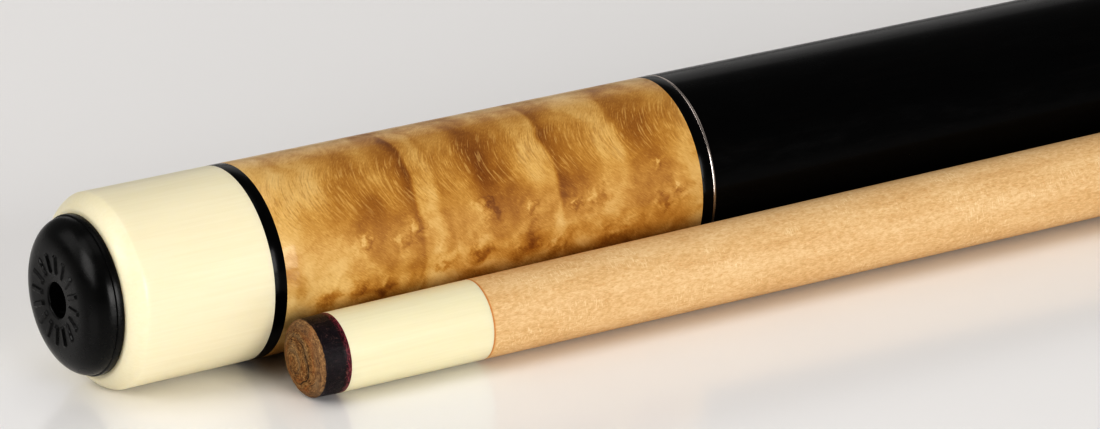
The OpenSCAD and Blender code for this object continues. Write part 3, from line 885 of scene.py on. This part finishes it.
def make_pad(fibre):
    low, high = SHAFT.span("tip_pad")
    r = SHAFT.radius("tip_pad", low)
    outline = eased([(0.0, low), (r, low), (r, high), (0.0, high)], (0, 0.05, 0.03, 0), 3)
    place(lathe("pad_fibre", SHAFT, outline, 160), fibre, "shaft_half", "red_fibre", "tip_pad")


def make_ferrule(ivory):
    low, high = SHAFT.span("ferrule")
    a, b = SHAFT.radius("ferrule", low), SHAFT.radius("ferrule", high)
    outline = [(0.0, low), (a - 0.03, low), (a, low + 0.03), (b, high - 0.02), (b - 0.02, high), (4.3, high),
               (4.3, low + 4.0), (0.0, low + 4.0)]
    place(lathe("ferrule_cap", SHAFT, outline, 160), ivory, "shaft_half", "ferrule_ivory", "ferrule")


def shaft_profile(low, high):
    """The outside of the CAD shaft between two stations, as (r, s)."""
    outer = {}
    for v in frame["nodes"]["shaft_wood"].data.vertices:
        d = v.co - SHAFT.point
        along = d.dot(SHAFT.axis)
        station = round(along / MM, 1)
        outer[station] = max(outer.get(station, 0.0), (d - SHAFT.axis * along).length / MM)
    profile = []
    slack = 0.2
    for s, r in sorted(outer.items()):
        least = profile[-1][0] if profile else 6.4
        if low - slack < s < high + slack and r > least - slack:
            profile.append((r, s))
    return profile


def make_shaft(wood):
    low = SHAFT.span("ferrule")[1]
    high = SHAFT.span("shaft_trim_ring")[0]
    tenon_low, tenon_high = SHAFT.span("shaft_wood")
    insert_low = SHAFT.span("shaft_insert")[0] - CLEARANCE
    front_tenon, rear_tenon = 4.25, SHAFT_COLLAR_BORE - CLEARANCE
    outline = ([(0.0, tenon_low), (front_tenon - 0.35, tenon_low), (front_tenon, tenon_low + 0.4),
                (front_tenon, low)] + refined(shaft_profile(low, high), 6.0)
               + [(rear_tenon, high), (rear_tenon, tenon_high - 0.4), (rear_tenon - 0.4, tenon_high),
                  (INSERT_BORE, tenon_high), (INSERT_BORE, insert_low), (0.0, insert_low)])
    place(lathe("shaft_body", SHAFT, outline, 160), wood, "shaft_half", "shaft_maple", "shaft_wood")


def make_shaft_joint(black, metal, brass):
    span = SHAFT.span("shaft_trim_ring")
    a, b = SHAFT.radius("shaft_trim_ring", span[0]), SHAFT.radius("shaft_trim_ring", span[1])
    piece = lathe("shaft_trim_ring_band", SHAFT, crowned(a, b, span, SHAFT_COLLAR_BORE, 0.015), 160, None, 80)
    place(piece, metal, "shaft_half", "trim_metal", "shaft_trim_ring")
    low, high = SHAFT.span("shaft_collar")
    a, b = SHAFT.radius("shaft_collar", low), SHAFT.radius("shaft_collar", high)
    tenon_high = SHAFT.span("shaft_wood")[1]
    outline = eased([(SHAFT_COLLAR_BORE, low), (a, low), (b, high), (INSERT_BORE, high),
                     (INSERT_BORE, tenon_high), (SHAFT_COLLAR_BORE, tenon_high)],
                    (0, 0.03, 0.3, 0.1, 0, 0), 5)
    piece = lathe("shaft_collar_band", SHAFT, refined(outline, 2.0, True), 160, None, 40)
    place(piece, black, "shaft_half", "black_plastic", "shaft_collar")
    start, end = SHAFT.span("shaft_insert")
    outside, bore, depth = INSERT_BORE - CLEARANCE, 4.02, 0.55
    inner = refined([(bore, end - 0.7), (bore, start + 0.2)], 0.15)
    outline = ([(bore + 0.2, start), (outside - 0.3, start), (outside, start + 0.3), (outside, end - 0.55),
                (outside - 0.08, end - 0.2), (outside - 0.35, end), (bore + 0.6, end)] + inner)

    def thread(r, s, angle):
        if abs(r - bore) < 0.01 and start + 0.5 < s < end - 0.8:
            crest = 1 - groove_depth(s, angle, THREAD_PITCH)
            r -= depth * crest * min(1.0, (end - 0.8 - s) / 1.2)
        return r, s

    piece = lathe("insert_brass", SHAFT, outline, 96, thread, 60)
    place(piece, brass, "shaft_half", "brass_insert", "shaft_insert")


def make_bumper_screw(steel):
    """Socket-head screw seen at the bottom of the driver hole, with its washer."""
    low, high = BUTT.span("bumper_screw")
    head_r, shank_r, head_end = 4.1, 2.5, low + 2.6
    pitch, depth = 0.8, 0.32
    sides, flat = 6, 2.0
    socket = low + 1.7

    def shape(r, s, angle):
        if r < shank_r - 0.1 and s < socket + 0.1:
            near = (angle + math.pi / sides) % (TURN / sides) - math.pi / sides
            r /= math.cos(near)
        elif abs(r - shank_r) < 0.01 and s > head_end + 1.5:
            r -= depth * groove_depth(s, angle, pitch)
        return r, s

    shank = refined([(shank_r, head_end), (shank_r, high - 0.4)], 0.08)
    outline = ([(0.0, socket), (flat, socket), (flat, low + 0.15), (flat + 0.25, low), (head_r - 0.5, low),
                (head_r - 0.12, low + 0.14), (head_r, low + 0.5), (head_r, head_end - 0.1),
                (head_r - 0.1, head_end)] + shank + [(shank_r - 0.4, high), (0.0, high)])
    piece = lathe("bumper_screw_threaded", BUTT, outline, 96, shape, 40)
    place(piece, steel, "bumper_screw_body", "screw_steel", "bumper_screw")
    low, high = BUTT.span("bumper_washer")
    outline = eased([(2.65, low), (4.5, low), (4.5, high), (2.65, high)], (0.08,) * 4, 3)
    piece = lathe("bumper_washer_ring", BUTT, outline, 96)
    place(piece, steel, "bumper_body", "screw_steel", "bumper_washer")


def repaint_hidden_steel(steel, dark):
    """The weight bolt and the forearm stud keep their CAD shapes inside the wood."""
    for node, material in (("weight_bolt", dark), ("forearm_stud", steel)):
        mesh = frame["nodes"][node].data
        mesh.materials.clear()
        mesh.materials.append(material)


def main():
    make_camera()
    make_floor()
    make_lights()
    ivory = ivory_plastic("cap_ivory", (0.87, 0.805, 0.600), (0.81, 0.735, 0.515), (0.845, 0.775, 0.560))
    make_bumper(rubber("bumper_black"))
    make_cap(ivory)
    black = black_gloss("ring_black")
    start = BUTT.span("butt_sleeve")[0]
    metal = turned_metal("trim_silver", (0.60, 0.53, 0.49), (0.50, 0.44, 0.40), 0.20, 0.30)
    make_butt_rings(black, metal)
    curls = [(start + along, lightness) for along, lightness in SLEEVE_CURLS]
    eyes = [(degrees, start + along, *rest) for degrees, along, *rest in SLEEVE_EYES]
    make_sleeve(figured_maple("sleeve_maple", math.radians(-38), curls, eyes, -45))
    make_handle(black_gloss("handle_lacquer"))
    even = [(start, 0.5), (start + 800, 0.5)]
    make_forearm(figured_maple("forearm_maple", math.radians(20), even, [], 180))
    steel = turned_metal("joint_steel", (0.72, 0.72, 0.73), (0.60, 0.60, 0.62), 0.10, 0.22)
    make_collar_and_pin(steel)
    make_bumper_screw(turned_metal("screw_steel", (0.55, 0.55, 0.56), (0.42, 0.42, 0.43), 0.22, 0.38))
    dark_steel = turned_metal("weight_black", (0.10, 0.10, 0.10), (0.06, 0.06, 0.06), 0.35, 0.5)
    repaint_hidden_steel(steel, dark_steel)
    high = SHAFT.span("tip")[1]
    make_tip(leather("tip_leather", high - TIP_SIDE))
    make_pad(red_fibre("pad_red", SHAFT.span("tip_pad")[1]))
    ivory = ivory_plastic("ferrule_ivory", (0.84, 0.785, 0.565), (0.77, 0.710, 0.490), (0.81, 0.750, 0.530))
    make_ferrule(ivory)
    make_shaft(plain_maple("shaft_maple", SHAFT.span("ferrule")[1]))
    brass = turned_metal("insert_brass", (0.78, 0.55, 0.24), (0.66, 0.44, 0.18), 0.14, 0.26)
    make_shaft_joint(black, metal, brass)


main()
